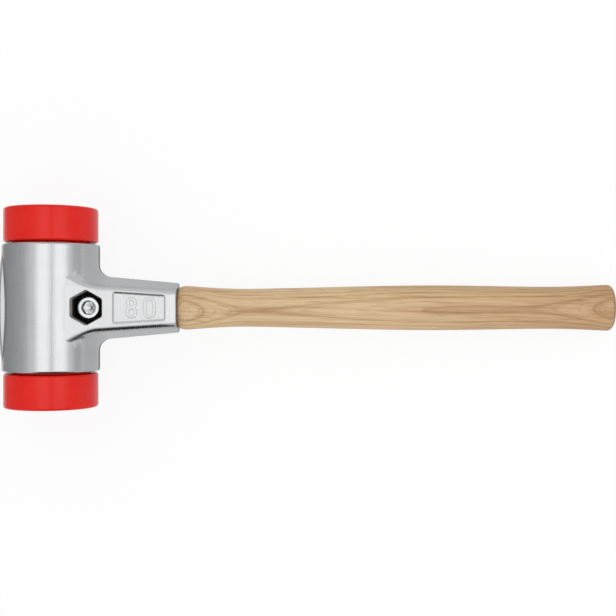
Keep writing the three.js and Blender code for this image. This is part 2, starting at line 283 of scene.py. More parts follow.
# %% Ring number of a point
GRAIN_RUN = 0.02
PITH = (0, 0.0122, -0.07311)
RING_SPACING = 0.00209
BOW_MIDDLE, BOW, SWAY = 0.2732, 0.0741, 0.0005

ash, shader = new_finish("oiled_ash", IOR=1.45)
tree = ash.node_tree
place = add(tree, "TexCoord").outputs["Object"]
upright = Matrix.Rotation(GRAIN_RUN, 4, "Z") @ laid.inverted()
grown = add(tree, "Mapping", {"Vector": place,
             "Location": upright.translation, "Rotation": upright.to_euler()}).outputs["Vector"]
slow = add(tree, "Mapping", {"Vector": grown, "Scale": (0.16, 1, 1)}).outputs["Vector"]
sway = add(tree, "TexNoise", {"Vector": slow, "Scale": 55, "Detail": 2, "Roughness": 0.5})
from_pith = add(tree, "VectorMath", {0: grown, 1: PITH}, operation="SUBTRACT").outputs["Vector"]
across = add(tree, "VectorMath", {0: from_pith, 1: (0, 1, 1)}, operation="MULTIPLY").outputs["Vector"]
distance = add(tree, "VectorMath", {0: across}, operation="LENGTH").outputs["Value"]
along = add(tree, "SeparateXYZ", {"Vector": grown}).outputs["X"]
off_middle = add(tree, "Math", {0: along, 1: BOW_MIDDLE}, operation="SUBTRACT").outputs["Value"]
squared = add(tree, "Math", {0: off_middle, 1: off_middle}, operation="MULTIPLY").outputs["Value"]
bowed = add(tree, "Math", {0: squared, 1: BOW, 2: distance}, operation="MULTIPLY_ADD")
swayed = add(tree, "Math", {0: sway.outputs["Fac"], 1: SWAY, 2: bowed.outputs["Value"]},
             operation="MULTIPLY_ADD")
ring = add(tree, "Math", {0: swayed.outputs["Value"], 1: RING_SPACING}, operation="DIVIDE")
growth = add(tree, "Math", {0: ring.outputs["Value"]}, operation="FRACT").outputs["Value"]
print(f"growth rings {RING_SPACING * 1000:.1f} mm thick")

# %% [markdown]
# ### Colour, pores and feel of the wood
# The ring number picks a colour from a ramp. Fibres are a noise that is stretched fifty times along the
# handle; a finer one of its kind gives the short dark pores of ash, and a coarser one gives warm streaks.
# The fibres also give the sanded surface its roughness and a low bump. Years of hands have darkened the
# grip towards the butt. Where the surface faces along the handle, at the end grain of the butt, the colour is
# darker and greyer: partly end grain that has drunk more oil than the rest, partly painted shade.

# %% Oiled ash
GRIP_START, GRIP_END = 0.24, 0.48

strand = add(tree, "Mapping", {"Vector": grown, "Scale": (0.02, 1, 1)}).outputs["Vector"]
fibre = add(tree, "TexNoise", {"Vector": strand, "Scale": 1500, "Detail": 4, "Roughness": 0.65})
pore = add(tree, "TexNoise", {"Vector": strand, "Scale": 2600, "Detail": 2})
streak = add(tree, "TexNoise", {"Vector": strand, "Scale": 560, "Detail": 3, "Roughness": 0.6})
patch = add(tree, "TexNoise", {"Vector": slow, "Scale": 30, "Detail": 3})
ring_colour = ramp(tree, growth, [
    (0.0, (0.44, 0.275, 0.13)), (0.06, (0.50, 0.325, 0.165)), (0.15, (0.61, 0.43, 0.245)),
    (0.20, (0.54, 0.365, 0.195)), (0.28, (0.64, 0.46, 0.265)), (0.55, (0.665, 0.48, 0.28)),
    (0.62, (0.60, 0.42, 0.235)), (0.70, (0.66, 0.475, 0.275)), (1.0, (0.58, 0.40, 0.215))])
fibre_shade = ramp(tree, fibre.outputs["Fac"], [(0.3, 0.86), (0.7, 1.08)])
pore_shade = ramp(tree, pore.outputs["Fac"], [(0.3, 0.72), (0.4, 1.0)])
streak_shade = ramp(tree, streak.outputs["Fac"], [(0.38, (0.83, 0.77, 0.7)), (0.48, 1.0), (0.62, 1.06)])
patch_shade = ramp(tree, patch.outputs["Fac"], [(0.3, (0.95, 0.93, 0.9)), (0.7, (1.04, 1.04, 1.05))])
gripped = add(tree, "MapRange", {"Value": along, "From Min": GRIP_START, "From Max": GRIP_END})
grip_shade = ramp(tree, gripped.outputs["Result"], [(0.0, 1.0), (1.0, (0.79, 0.69, 0.63))])
end_on = add(tree, "SeparateXYZ", {0: add(tree, "NewGeometry").outputs["Normal"]}).outputs["X"]
# Darker and greyer where the surface faces along the handle: end grain, and painted shade.
end_grain_and_painted_shade = ramp(tree, end_on, [(0.35, 1.0), (0.8, (0.5, 0.52, 0.58))])
wood = ring_colour
for shade in (fibre_shade, pore_shade, streak_shade, patch_shade, grip_shade, end_grain_and_painted_shade):
    wood = mix(tree, 1.0, wood, shade, "MULTIPLY")
tree.links.new(wood, shader.inputs["Base Color"])
feel = add(tree, "MapRange", {"Value": fibre.outputs["Fac"],
            "From Min": 0.3, "From Max": 0.7, "To Min": 0.62, "To Max": 0.46})
tree.links.new(feel.outputs["Result"], shader.inputs["Roughness"])
open_grain = add(tree, "Bump", {"Height": growth, "Strength": 0.06, "Distance": 0.0003})
sanded = add(tree, "Bump", {"Height": fibre.outputs["Fac"], "Normal": open_grain.outputs["Normal"],
              "Strength": 0.16, "Distance": 0.0003})
tree.links.new(sanded.outputs["Normal"], shader.inputs["Normal"])
print("finish:", ash.name)

# %% [markdown]
# ## Pieces from rings of points
# Turned and lofted pieces are all alike to a mesh: a stack of rings with equally many points, joined by
# quads, closed at each end or joined back to the start. One helper makes such a skin.

# %% Skin over rings
def skin(rings, loop=False):
    """Points and quads over rings; each end is closed by a fan, or the last joins the first."""
    rings = np.asarray(rings, float)
    levels, count = rings.shape[:2]
    points = rings.reshape(-1, 3)
    step = np.arange(count)
    turn = (step + 1) % count
    faces = []
    for level in range(levels if loop else levels - 1):
        low, high = level * count, (level + 1) % levels * count
        faces += np.stack([low + step, low + turn, high + turn, high + step], 1).tolist()
    if not loop:
        ends = np.array([rings[0].mean(0), rings[-1].mean(0)])
        points = np.concatenate([points, ends])
        bottom, top, last = len(points) - 2, len(points) - 1, (levels - 1) * count
        faces += [[bottom, b, a] for a, b in zip(step.tolist(), turn.tolist())]
        faces += [[top, last + a, last + b] for a, b in zip(step.tolist(), turn.tolist())]
    return points, faces


print("a skin over 3 rings of 4 points has", len(skin(np.zeros((3, 4, 3)))[1]), "faces")

# %% [markdown]
# ### Pieces that ride on a body
# Every piece is made the same way, whatever its shape: points and faces become a smooth mesh with one
# finish, laid down in its place. It rides on a body of the model and stands for one of its solids.

# %% Make a piece
def make_piece(name, points, faces, finish, body, slot, stands_for=None):
    """A smooth object in its place, riding on a body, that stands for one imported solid."""
    mesh = bpy.data.meshes.new(name)
    mesh.from_pydata(lay(points).tolist(), [], faces)
    mesh.shade_smooth()
    mesh.materials.append(finish)
    piece = bpy.data.objects.new(name, mesh)
    scene.collection.objects.link(piece)
    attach(piece, body)
    if stands_for:
        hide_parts(stands_for)
    print(f"{name}: {len(mesh.vertices)} points, {len(mesh.polygons)} faces, on {body}")
    return piece


print("pieces can be made")

# %% [markdown]
# ### Rounded profiles
# What is turned on a lathe starts as half a section. Real edges are rounded, so one helper replaces each
# inner corner of a bent line by an arc, and another turns the line about an axis into rings.

# %% Round and turn a profile
def fillet(profile, radii, steps=6):
    """A bent line with each inner corner rounded by an arc of its own radius."""
    profile = [np.asarray(corner, float) for corner in profile]
    line = [profile[0]]
    for before, corner, after, radius in zip(profile, profile[1:], profile[2:], radii):
        if not radius:
            line.append(corner)
            continue
        back, ahead = [(end - corner) / np.linalg.norm(end - corner) for end in (before, after)]
        half = math.acos(float(np.clip(back @ ahead, -1, 1))) / 2
        middle = (back + ahead) / np.linalg.norm(back + ahead)
        centre = corner + middle * radius / math.sin(half)
        start = corner + back * radius / math.tan(half) - centre
        end = corner + ahead * radius / math.tan(half) - centre
        sweep = math.pi - 2 * half
        for i in range(steps + 1):
            a, b = math.sin(sweep * (1 - i / steps)), math.sin(sweep * i / steps)
            line.append(centre + (start * a + end * b) / math.sin(sweep))
    line.append(profile[-1])
    return np.array(line)


def turn_about(line, segments, axis):
    """Rings of a [radius, height] line turned about Y or Z."""
    angles = np.linspace(0, 2 * math.pi, segments, endpoint=False)
    radius, height = line[:, :1], np.repeat(line[:, 1:], segments, 1)
    a, b = radius * np.cos(angles), radius * np.sin(angles)
    return np.stack([b, height, a] if axis == "Y" else [a, b, height], 2)


print("profiles can be rounded and turned")

# %% [markdown]
# ## The striking faces
# Each face is a thick red disc on a stub that the housing grips, the same part twice, the lower one
# turned round. A lathe is the natural tool: half a section, turned about the axis of the head. The
# edges are well rounded, because they take the glancing blows, and the rounding catches the light.

# %% Turn the two faces
FACE_RADIUS, FACE_HEIGHT, FACE_EDGE = 40, 29.5, 2.2
STUB_RADIUS, STUB_DEPTH, STUB_EDGE, STUB_FILLET = 33.5, 26, 1.5, 0.8
HOUSING_RADIUS, HOUSING_END, FACE_GAP = 41.5, 54.6, 1.6
FACE_SEGMENTS, FACE_ARC_STEPS = 160, 8
NEAR_AXIS = 0.01

face_foot = HOUSING_END + FACE_GAP
face_top = face_foot + FACE_HEIGHT
stub_end = HOUSING_END - STUB_DEPTH
face_line = fillet(
    [(NEAR_AXIS, stub_end), (STUB_RADIUS, stub_end), (STUB_RADIUS, face_foot), (FACE_RADIUS, face_foot),
     (FACE_RADIUS, face_top), (NEAR_AXIS, face_top)],
    [STUB_EDGE, STUB_FILLET, FACE_EDGE, FACE_EDGE], steps=FACE_ARC_STEPS)
upper_rings = turn_about(face_line, FACE_SEGMENTS, "Y")
for name, node, body, turn in (("upper_face_insert", "upper_face", "upper_insert", (1, 1, 1)),
                               ("lower_face_insert", "lower_face", "lower_insert", (-1, -1, 1))):
    make_piece(name, *skin(upper_rings * turn), red, body, "red_plastic", node)

# %% [markdown]
# ## The handle
# The handle is an oval that swells and narrows: a rounded shoulder at the neck, a slim throat, a long
# belly, a grip, and a butt that swells again so that it can't slip out of the hand. A smooth curve runs
# through the widths at those places, and an oval section follows it. Inside the neck it carries on as
# a tenon that widens inwards, so the clamped neck can't let go of it.

# %% Loft the handle
MOUTH, TENON_END = 110.7, 57.5
HANDLE_LENGTH, HANDLE_THINNER = 376.9, 6.5
SHOULDER_RUN, SHOULDER_WIDTH = 7.4, 37.8
TENON_END_WIDTH, TENON_MOUTH_WIDTH, TENON_FLAT, TENON_EDGE = 37, 32.4, 12, 1.5
BUTT_WIDTH, BUTT_RADIUS, BUTT_DOME = 39.8, 5, 2.2
WIDTHS = [(0.107, 33.5), (0.198, 33.2), (0.551, 38.7), (0.846, 36.4)]
HANDLE_SIDES, STEPS_PER_RUN, QUARTER_STEPS, DOME_STEPS = 96, 40, 12, 14

butt = MOUTH + HANDLE_LENGTH - BUTT_DOME - BUTT_RADIUS
stations = np.array([(MOUTH + SHOULDER_RUN, SHOULDER_WIDTH),
                     *[(MOUTH + HANDLE_LENGTH * share, width) for share, width in WIDTHS],
                     (butt, BUTT_WIDTH)])


def smooth_through(points, steps):
    """A curve through points whose slope at each is that between its neighbours."""
    padded = np.concatenate([points[:1], points, points[-1:]])
    t = np.linspace(0, 1, steps, endpoint=False)[:, None]
    runs = []
    for a, b, c, d in zip(padded, padded[1:], padded[2:], padded[3:]):
        leave, arrive = (c - a) / 2, (d - b) / 2
        runs.append((2 * b - 2 * c + leave + arrive) * t ** 3
                    + (3 * c - 3 * b - 2 * leave - arrive) * t ** 2 + leave * t + b)
    return np.concatenate([*runs, points[-1:]])


quarter = np.linspace(0, math.pi / 2, QUARTER_STEPS)
rounding = np.stack([MOUTH + SHOULDER_RUN * (1 - np.cos(quarter)),
                     TENON_MOUTH_WIDTH + (SHOULDER_WIDTH - TENON_MOUTH_WIDTH) * np.sin(quarter)], 1)
shaft = smooth_through(stations, STEPS_PER_RUN)
butt_end_width = BUTT_WIDTH - 2 * BUTT_RADIUS
butt_round = np.stack([butt + BUTT_RADIUS * np.sin(quarter),
                       BUTT_WIDTH - 2 * BUTT_RADIUS * (1 - np.cos(quarter))], 1)
inwards = np.linspace(1, 0, DOME_STEPS)[1:-1]
dome = np.stack([butt + BUTT_RADIUS + BUTT_DOME * (1 - inwards ** 2), butt_end_width * inwards], 1)
tenon = fillet([(TENON_END, TENON_FLAT), (TENON_END, TENON_END_WIDTH), (MOUTH, TENON_MOUTH_WIDTH)],
               [TENON_EDGE])
outline = np.concatenate([tenon, rounding[1:], shaft[1:], butt_round[1:]])
angles = np.linspace(0, 2 * math.pi, HANDLE_SIDES, endpoint=False)
end_shape = (butt_end_width - HANDLE_THINNER) / butt_end_width
ovals = [[(at, width / 2 * math.cos(a), (width - HANDLE_THINNER) / 2 * math.sin(a)) for a in angles]
         for at, width in outline]
ovals += [[(at, width / 2 * math.cos(a), width / 2 * end_shape * math.sin(a)) for a in angles]
          for at, width in dome]
make_piece("wooden_handle", *skin(ovals), ash, "rear_half", "ash_wood", "handle")
print(f"handle: {outline[-1, 0] - outline[0, 0]:.0f} mm long with its tenon")

# %% [markdown]
# ## Castings as fields of distance
# The housing halves are the hard pieces: a barrel, a drafted neck that flows into it with fillets, flat
# plates that slice the neck, sunk fields, pockets and bores, and every edge softly rounded, because a
# casting has no sharp edge. Cutting and bevelling a polygon mesh goes wrong where such forms run out
# into each other. A field of distance doesn't: each form is a formula that says how far a point is from
# its surface, and forms are joined or cut with a rounded edge by combining two such numbers.

# %% Joining and cutting with round edges
def cut_round(a, b, radius):
    """What is in both a and b, with the edge between them rounded."""
    corner = np.hypot(np.maximum(a + radius, 0), np.maximum(b + radius, 0))
    return np.minimum(np.maximum(a, b), -radius) + corner


def join_round(a, b, radius):
    """What is in a or b, with a fillet in the corner between them."""
    corner = np.hypot(np.maximum(radius - a, 0), np.maximum(radius - b, 0))
    return np.maximum(np.minimum(a, b), radius) - corner


def hexagon(x, y, across, corner=0.0):
    """Distance from a hexagon with flats facing along X and rounded corners."""
    reach = across / 2 - corner
    x, y = np.abs(x), np.abs(y)
    fold = 2 * np.minimum(0.5 * x - math.cos(math.pi / 6) * y, 0)
    x, y = x - 0.5 * fold, y + math.cos(math.pi / 6) * fold
    side = reach * math.tan(math.pi / 6)
    y = y - np.clip(y, -side, side)
    return np.hypot(x - reach, y) * np.sign(x - reach) - corner


print("a round join of two surfaces 1 mm away:", join_round(np.array(1.0), np.array(1.0), 3.0))

# %% [markdown]
# ## From a field to a mesh
# OpenVDB, which comes with Blender, meshes a field that is sampled on a grid. The grid only finds the
# surface roughly, so each point then slides along the field's slope until it lies on the true surface,
# and the slope there also gives it a true normal. That is what keeps a satin highlight clean.

# %% Cast a piece
SETTLE_ROUNDS, SETTLE_STEP, NORMAL_STEP = 5, 0.05, 0.15
LEAST_STEEP, LONGEST_MOVE = 0.2, 0.5


def slope(field, points, step):
    """The field's gradient at points."""
    sides = [step * np.eye(3)[i] for i in range(3)]
    return np.stack([field(*(points + s).T) - field(*(points - s).T) for s in sides], 1) / (2 * step)


def note(piece, name, values):
    """Keeps a number for each point of a piece, which its finish can read."""
    kept = piece.data.attributes.new(name, "FLOAT", "POINT")
    kept.data.foreach_set("value", np.asarray(values, np.float32))


def cast(name, field, low, high, grid, *rides, notes=None):
    """Meshes the inside of a field between two corners; notes are formulas of what to note on points."""
    axes = [np.arange(a - 2 * grid, b + 3 * grid, grid) for a, b in zip(low, high)]
    samples = field(*np.meshgrid(*axes, indexing="ij", sparse=True))
    volume = openvdb.FloatGrid(2 * grid)
    volume.copyFromArray(np.clip(samples, -2 * grid, 2 * grid).astype(np.float32))
    points, _, quads = volume.convertToPolygons(0.0, 0.0)
    points = points * grid + np.array([axis[0] for axis in axes])
    for _ in range(SETTLE_ROUNDS):
        way = slope(field, points, SETTLE_STEP)
        steep = np.maximum((way ** 2).sum(1), LEAST_STEEP)
        move = (field(*points.T) / steep)[:, None] * way
        points = points - np.clip(move, -LONGEST_MOVE * grid, LONGEST_MOVE * grid)
    normals = slope(field, points, NORMAL_STEP)
    a, b, c = (points[quads[:, i]] for i in range(3))
    if (np.cross(b - a, c - a) * normals[quads[:, 0]]).sum() < 0:
        quads = quads[:, ::-1]
    piece = make_piece(name, points, quads.tolist(), *rides)
    normals = normals / np.linalg.norm(normals, axis=1, keepdims=True) @ laid_turn.T
    piece.data.normals_split_custom_set_from_vertices(normals.tolist())
    for key, formula in (notes or {}).items():
        note(piece, key, formula(*points.T))
    return piece


print("ready to cast")

# %% [markdown]
# ## The housing's outer form
# The barrel is a rounded cylinder along Y. On its back a low pad stands proud, which narrows to nothing
# at both ends and is cut flat on top and behind, so that a bright ledge shows from above. The neck's sides
# lean in from the seam to the edges of the plates, the lower one a little less. The plate stands a step
# proud of the neck, and its outline flares at the barrel, so that it runs out into two pointed wings. Near
# its mouth the plate rolls off gently, which is why that end looks brightest from above.

# %% Levels of the neck, the plates and the pad
RIM = 2.2
PAD_LENGTH, PAD_RISE, PAD_SUNK, PAD_BACK = 97, 3.8, 0.6, 44.3
PAD_TOP, PAD_END_TOP, PAD_EDGE, PAD_FOOT = 26.7, 20, 0.5, 0.3
NECK_END = 110.4
NECK_ROOT_WIDTH, NECK_MOUTH_WIDTH = 56, 43.6
PLATE_ROOT_WIDTH, PLATE_MOUTH_WIDTH, EDGE_LEAN = 38.6, 29.8, 0.9
NECK_ROOT_DEPTH, NECK_MOUTH_DEPTH = 65, 42
SEAM_FILLET, CROWN_FILLET = 10, 13.5
NECK_EDGE, PLATE_EDGE, MOUTH_EDGE = 3.2, 4.5, 0.7
PLATE_STEP, STEP_FOOT, PLATE_OVERHANG = 1.7, 1.2, 0.4
WING_ROOT, WING_FLARE, WING_POWER = 46, 0.0563, 1.6
ROLL_OFF, ROLL_DROP = 12, 1.1


def along_neck(root, mouth, x):
    """A size that changes evenly from the neck's root to its mouth."""
    return root + (mouth - root) * (x - HOUSING_RADIUS) / (NECK_END - HOUSING_RADIUS)


def plate_level(x):
    """Height of the plate over the seam, before it rolls off."""
    return along_neck(NECK_ROOT_DEPTH, NECK_MOUTH_DEPTH, x) / 2


def plate_half_width(x):
    return along_neck(PLATE_ROOT_WIDTH, PLATE_MOUTH_WIDTH, x) / 2


def under_plate(x, z, lowered=0.0):
    """Distance above the plate, which rolls off towards the mouth."""
    roll = ROLL_DROP * (np.maximum(x - NECK_END + ROLL_OFF, 0) / ROLL_OFF) ** 2
    lean = (NECK_ROOT_DEPTH - NECK_MOUTH_DEPTH) / 2 / (NECK_END - HOUSING_RADIUS)
    return (z - plate_level(x) + roll + lowered) * math.cos(math.atan(lean))


def pad_share(y):
    """How much of the pad is left at a place along the head."""
    return np.maximum(1 - (2 * y / PAD_LENGTH) ** 2, 0)


def pad_top(y):
    return PAD_END_TOP + (PAD_TOP - PAD_END_TOP) * pad_share(y)


print(f"plate level at the mouth: {plate_level(NECK_END):.2f} mm above the seam")

# %% [markdown]
# ### One formula for both halves
# Seen from the seam outwards the halves are alike, so one formula serves both. It joins the pad to the
# barrel, the neck to the barrel with a fillet that widens towards the crown, and the plate to the neck with
# a small soft step, and cuts the neck off at its mouth.

# %% Barrel, neck and plate
def outer_form(x, y, z):
    """The housing from outside, without its openings; z counts from the seam outwards."""
    side = np.sign(y)
    lean = EDGE_LEAN * side * z / plate_level(x)
    y, shell = np.abs(y), np.hypot(x, z) - HOUSING_RADIUS
    rise = (PAD_RISE + PAD_SUNK) * pad_share(y) - PAD_SUNK
    proud = np.maximum(shell - rise, -PAD_BACK - x)
    padded = join_round(shell, cut_round(proud, z - pad_top(y), PAD_EDGE), PAD_FOOT)
    barrel = cut_round(np.where(x < 0, padded, shell), y - HOUSING_END, RIM)
    middle = along_neck(NECK_ROOT_WIDTH, NECK_MOUTH_WIDTH, x) / 2
    half_width = middle - lean - (middle - plate_half_width(x)) * z / plate_level(x)
    bend = SEAM_FILLET + (CROWN_FILLET - SEAM_FILLET) * z / HOUSING_RADIUS
    under = cut_round(join_round(barrel, y - half_width, bend), under_plate(x, z, PLATE_STEP), NECK_EDGE)
    wing = np.maximum(WING_ROOT - x, 0)
    plate_edge = plate_half_width(x) + PLATE_OVERHANG - side * EDGE_LEAN + WING_FLARE * wing ** WING_POWER
    slant = WING_FLARE * WING_POWER * wing ** (WING_POWER - 1)
    plate = cut_round((y - plate_edge) / np.hypot(1, slant), under_plate(x, z), PLATE_EDGE)
    foot = np.maximum(STEP_FOOT - np.abs(under - plate), 0)
    neck = np.minimum(under, plate) - foot ** 2 / (4 * STEP_FOOT)
    neck = cut_round(neck, x - NECK_END, MOUTH_EDGE)
    return np.where(x > 0, np.minimum(neck, barrel), barrel)


print(f"barrel {2 * HOUSING_RADIUS} mm across, neck {NECK_END - HOUSING_RADIUS:.1f} mm long")

# %% [markdown]
# ## Openings in the housing
# Both halves share the same openings: the round sockets that grip the faces, a hollow between them, the
# tapered oval for the tenon, the bore for the screw, and a sunk field in each plate. Only the pockets
# differ: a wide hexagon for the screw head in front, a close one that keeps the nut from turning behind.

# %% Sockets, hollow, bore and sunk field
FIT, SEAT = 0.3, 0.3
WALL, WEB = 8, 8
SCREW_X, BORE_RADIUS = 37.1, 6.6
POCKET_ACROSS, POCKET_CORNER, NUT_POCKET_ACROSS = 25.6, 2.5, 18.6
CLAMP_FLOOR, BOSS_WALL = 8.8, 8
FIELD_LAND, FIELD_BORDER, FIELD_SINK, FIELD_CORNER = 8.4, 4.6, 1.5, 2.5
FIELD_DRAFT, FIELD_FILLET, FIELD_EDGE = 0.85, 0.6, 0.8
SOCKET_EDGE, TENON_HOLE_EDGE, BORE_EDGE, POCKET_EDGE = 0.9, 0.35, 0.7, 0.8
SEAM_HALF_GAP, SEAM_EDGE = 0.8, 0.8

field_start = SCREW_X + POCKET_ACROSS / 2 + FIELD_LAND
field_end = NECK_END - FIELD_LAND
socket_floor = stub_end - SEAT
boss_face = SCREW_X - POCKET_ACROSS / 2 - BOSS_WALL


def sunk_field(x, y, z):
    """The hollow of the sunk field, with sloping walls and a fillet round its floor."""
    lean = (PLATE_ROOT_WIDTH - PLATE_MOUTH_WIDTH) / 2 / (NECK_END - HOUSING_RADIUS)
    top = (np.abs(y) - plate_half_width(x) + FIELD_BORDER) * math.cos(math.atan(lean))
    ends = np.abs(x - (field_start + field_end) / 2) - (field_end - field_start) / 2
    outline = cut_round(top, ends, FIELD_CORNER)
    depth = under_plate(x, z, FIELD_SINK)
    wall = (outline + FIELD_DRAFT * (FIELD_SINK - depth)) / math.hypot(1, FIELD_DRAFT)
    return cut_round(wall, -depth, FIELD_FILLET)


def housing_form(x, y, z, pocket):
    """One half of the housing with all its openings; z counts from the seam outwards."""
    form = outer_form(x, y, z)
    radius, height = np.hypot(x, z), np.abs(y)
    socket = np.maximum(radius - STUB_RADIUS - FIT, socket_floor - height)
    hollow = np.maximum(radius - HOUSING_RADIUS + WALL, height - socket_floor + WEB)
    hollow = np.maximum(hollow, x - boss_face)
    taper = (TENON_END_WIDTH - TENON_MOUTH_WIDTH) / (MOUTH - TENON_END)
    width = TENON_END_WIDTH - taper * (x - TENON_END)
    half_wide, half_deep = width / 2 + FIT, (width - HANDLE_THINNER) / 2 + FIT
    tenon_hole = np.maximum((np.hypot(y / half_wide, z / half_deep) - 1) * half_deep, TENON_END - SEAT - x)
    bore = np.hypot(x - SCREW_X, y) - BORE_RADIUS
    pocket = np.maximum(pocket, CLAMP_FLOOR - z)
    for opening, edge in ((socket, SOCKET_EDGE), (hollow, SOCKET_EDGE), (tenon_hole, TENON_HOLE_EDGE),
                          (bore, BORE_EDGE), (sunk_field(x, y, z), FIELD_EDGE), (pocket, POCKET_EDGE)):
        form = cut_round(form, -opening, edge)
    return cut_round(form, SEAM_HALF_GAP - z, SEAM_EDGE)


def front_form(x, y, z):
    return housing_form(x, y, z, hexagon(x - SCREW_X, y, POCKET_ACROSS, POCKET_CORNER))


def rear_form(x, y, z):
    return housing_form(x, y, -z, hexagon(x - SCREW_X, y, NUT_POCKET_ACROSS))


print(f"sunk field from {field_start:.1f} to {field_end:.1f} mm")

# %% [markdown]
# ## Cast the halves and note their skin
# The colour is painted dark as painted shade deep in the openings, in the seam, and in the crease
# between the barrel and the flat top of the pad. Since the forms are formulas, so is the painted shade:
# how deep a point lies under the outer form, how far it is from the seam, and how far from that crease.
# Raw walls start just under the sunk fields, and what lies near the level of a plate, away from its
# edges, is milled.

# %% Cast both halves
CAST_GRID = 0.6
WALL_UNSHADED, WALL_DARK = 7, 10.5
SEAM_DARK, SEAM_UNSHADED = 1.4, 2.1
CREASE_SHADE, CREASE_WIDTH = 0.85, 0.42
CREASE_START, CREASE_FULL = 0.1, 0.4
RAW_FROM, RAW_FULL = 2, 3.5
MILLED_BORDER, MILLED_DEPTH, MILLED_START = (2, 3), (-3, -2.2), (14, 22)
CAST_BACK, CAST_END, CAST_SIDE, CAST_TOP = -46, 112, 54, 44


def fade(value, start, end):
    """0 up to start, 1 from end on, with a soft change between."""
    share = np.clip((value - start) / (end - start), 0, 1)
    return share * share * (3 - 2 * share)


def casting_painted_shade(x, y, z):
    """How much painted shade a casting gets; z counts from the seam outwards."""
    # Painted shade: deep under the outer form, along the seam, and in the crease by the pad.
    deep = fade(-outer_form(x, y, z), WALL_UNSHADED, WALL_DARK)
    seam = 1 - fade(z, SEAM_DARK, SEAM_UNSHADED)
    from_crease = np.hypot(np.hypot(x, z) - HOUSING_RADIUS, z - pad_top(y)) / CREASE_WIDTH
    crease = CREASE_SHADE * np.exp(-from_crease ** 2) * (x < 0)
    crease = crease * fade(pad_share(y), CREASE_START, CREASE_FULL)
    return np.maximum(np.maximum(deep, seam), crease)


def casting_raw(x, y, z):
    """How much of the mould's raw skin is left."""
    return fade(-outer_form(x, y, z), RAW_FROM, RAW_FULL)


def casting_milled(x, y, z):
    """How much of the surface is milled flat."""
    off_edge = plate_half_width(x) - np.abs(y)
    flat = fade(off_edge, *MILLED_BORDER) * fade(under_plate(x, z), *MILLED_DEPTH)
    return flat * fade(x, *MILLED_START)


def mirrored(formula):
    """The same formula for the rear half, which lies below the seam."""
    return lambda x, y, z: formula(x, y, -z)


front_notes = {"grime": casting_painted_shade, "raw_skin": casting_raw, "milled": casting_milled}
rear_notes = {name: mirrored(formula) for name, formula in front_notes.items()}
cast("front_casting", front_form, (CAST_BACK, -CAST_SIDE, 0), (CAST_END, CAST_SIDE, CAST_TOP), CAST_GRID,
     aluminium, "front_half", "cast_aluminium", "front_housing_half", notes=front_notes)
cast("rear_casting", rear_form, (CAST_BACK, -CAST_SIDE, -CAST_TOP), (CAST_END, CAST_SIDE, 0), CAST_GRID,
     aluminium, "rear_half", "cast_aluminium", "rear_housing_half", notes=rear_notes)

# %% [markdown]
# ## The raised size number
# The sunk field in front carries the size of the faces, 80 mm, as low raised figures. They are a field
# of distance too: an oval ring is the 0, two smaller rings on top of each other are the 8, and each is
# a soft ridge half a millimetre high that follows the floor of the sunk field.

# %% Cast the number
FIGURE_HEIGHT, FIGURE_WIDTH, STROKE, RELIEF = 17.8, 10.2, 2.6, 0.5
EIGHT_X, NOUGHT_X = 73.9, 88.6
UPPER_SHARE, LOWER_SHARE, UPPER_DROP = 0.76, 0.84, 0.2
NOUGHT_CORNER, UPPER_CORNER, LOWER_CORNER = 0.95, 0.7, 0.78
FIGURE_DRAFT, FIGURE_EDGE, FIGURE_ROOT = 0.35, 0.4, 0.4
NUMBER_LOW, NUMBER_HIGH = (68, -10, 21), (96, 10, 29)
NUMBER_GRID = 0.25


def oval_ring(x, y, half_long, half_tall, corner):
    """Distance from a stroke that runs round a rounded upright box."""
    a, b = np.abs(x) - half_long + corner, np.abs(y) - half_tall + corner
    box = np.hypot(np.maximum(a, 0), np.maximum(b, 0)) + np.minimum(np.maximum(a, b), 0) - corner
    return np.abs(box) - STROKE / 2


def number_form(x, y, z):
    """The two figures as one low ridge on the floor of the sunk field."""
    long, tall = (FIGURE_WIDTH - STROKE) / 2, (FIGURE_HEIGHT - STROKE) / 2
    nought = oval_ring(x - NOUGHT_X, y, long, tall, long * NOUGHT_CORNER)
    upper = oval_ring(x - EIGHT_X, y - tall / 2 - UPPER_DROP, long * UPPER_SHARE, tall / 2 - UPPER_DROP,
                      long * UPPER_CORNER)
    lower = oval_ring(x - EIGHT_X, y + tall / 2, long * LOWER_SHARE, tall / 2, long * LOWER_CORNER)
    stroke = np.minimum(nought, np.minimum(upper, lower))
    height = under_plate(x, z, FIELD_SINK)
    ridge = cut_round(stroke + FIGURE_DRAFT * height, height - RELIEF, FIGURE_EDGE)
    return np.maximum(ridge, -height - FIGURE_ROOT)


cast("size_number", number_form, NUMBER_LOW, NUMBER_HIGH, NUMBER_GRID,
     aluminium, "front_half", "cast_aluminium", notes={"milled": casting_milled})

# %% [markdown]
# ## The clamp screw
# A socket head screw is turned, knurled and broached. Its rings can be turned rings, but where a ring's
# distance from the axis changes with the angle, the same stack of rings also makes the hexagon socket
# and the helix of the thread.

# %% Thread and hexagon by angle
ROUND_STEPS, STEPS_PER_PITCH = 96, 10
PITCH, THREAD_DEPTH = 1.75, 1.0
FLANK_SLOPE, CREST_FLAT = 1.15, 0.08
round_angles = np.linspace(0, 2 * math.pi, ROUND_STEPS, endpoint=False)


def ring_at(radius, height):
    """A ring about Z, whose radius and height may change with the angle."""
    radius, height = np.broadcast_arrays(radius, height, round_angles)[:2]
    return np.stack([radius * np.cos(round_angles), radius * np.sin(round_angles), height], 1)


def hexagon_radius(across, turned=0.0):
    """Distance from the axis to the flats of a hexagon, for each angle."""
    wedge = (round_angles + turned + math.pi / 6) % (math.pi / 3) - math.pi / 6
    return across / 2 / np.cos(wedge)


